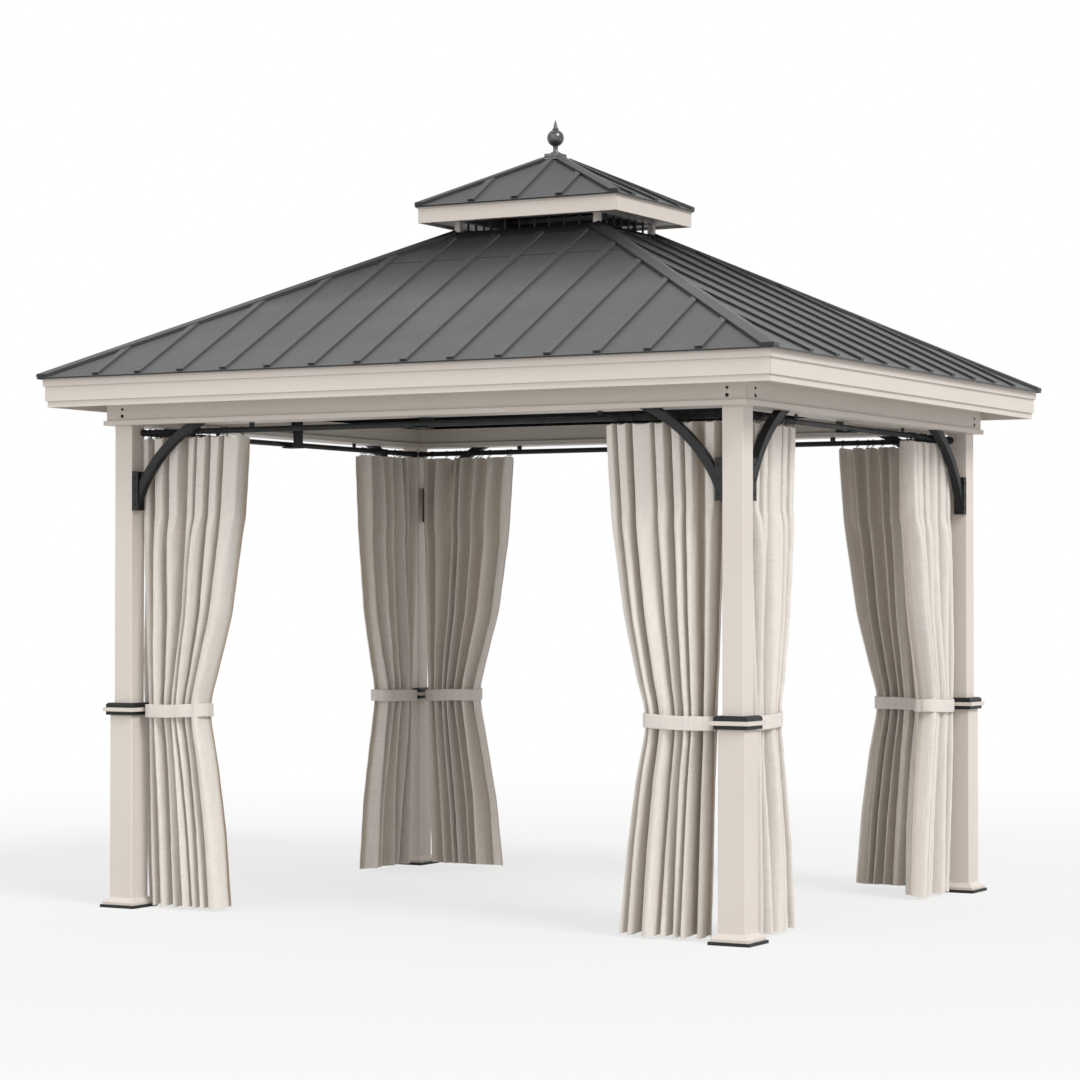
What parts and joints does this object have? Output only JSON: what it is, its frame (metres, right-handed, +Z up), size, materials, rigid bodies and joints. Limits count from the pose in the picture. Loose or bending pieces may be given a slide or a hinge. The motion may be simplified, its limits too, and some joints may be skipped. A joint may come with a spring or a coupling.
{
  "type": "metal gazebo",
  "caption": "Open rectangular garden gazebo with a two-tier standing-seam metal roof on square clad posts, arched knee braces and tied-back curtains, for outdoor shade.",
  "frame": {"origin": "centre of the plan at ground level, under the foot plates", "axes": "+Z up, +X along the longer front side to its right, +Y from the front to the rear"},
  "size_m": [3.6038, 3.054, 3.5859],
  "materials": {
    "cream_paint": "satin",
    "black_paint": "satin",
    "roof_grey": "satin",
    "finial_metal": "gloss",
    "curtain_fabric": "matte"
  },
  "bodies": {
    "root": {"centre_rafters": "black_paint", "collar_bands": "cream_paint", "collar_lower_rings": "black_paint", "collar_upper_rings": "black_paint", "curtain_rings": "black_paint", "curtain_rods": "black_paint", "eave_soffits": "cream_paint", "finial": "finial_metal", "finial_base": "finial_metal", "foot_plates": "black_paint", "front_beam": "cream_paint", "front_braces": "black_paint", "front_fascia": "cream_paint", "front_left_curtain": "curtain_fabric", "front_left_post": "cream_paint", "front_left_sleeve": "cream_paint", "front_right_curtain": "curtain_fabric", "front_right_post": "cream_paint", "front_right_sleeve": "cream_paint", "front_roof": "roof_grey", "hip_caps": "roof_grey", "hip_rafters": "black_paint", "left_beam": "cream_paint", "left_braces": "black_paint", "left_fascia": "cream_paint", "left_left_curtain": "curtain_fabric", "left_right_curtain": "curtain_fabric", "left_roof": "roof_grey", "rear_beam": "cream_paint", "rear_braces": "black_paint", "rear_fascia": "cream_paint", "rear_left_curtain": "curtain_fabric", "rear_left_post": "cream_paint", "rear_left_sleeve": "cream_paint", "rear_right_curtain": "curtain_fabric", "rear_right_post": "cream_paint", "rear_right_sleeve": "cream_paint", "rear_roof": "roof_grey", "right_beam": "cream_paint", "right_braces": "black_paint", "right_fascia": "cream_paint", "right_left_curtain": "curtain_fabric", "right_right_curtain": "curtain_fabric", "right_roof": "roof_grey", "rod_hangers": "black_paint", "roof_flashings": "roof_grey", "tie_bands": "curtain_fabric", "upper_fascia": "cream_paint", "upper_hip_caps": "roof_grey", "upper_roof": "roof_grey", "upper_soffits": "cream_paint", "vent_bars": "black_paint", "vent_curb": "black_paint", "vent_head_rails": "black_paint", "vent_posts": "cream_paint", "wall_plates": "black_paint"}
  },
  "joints": []
}
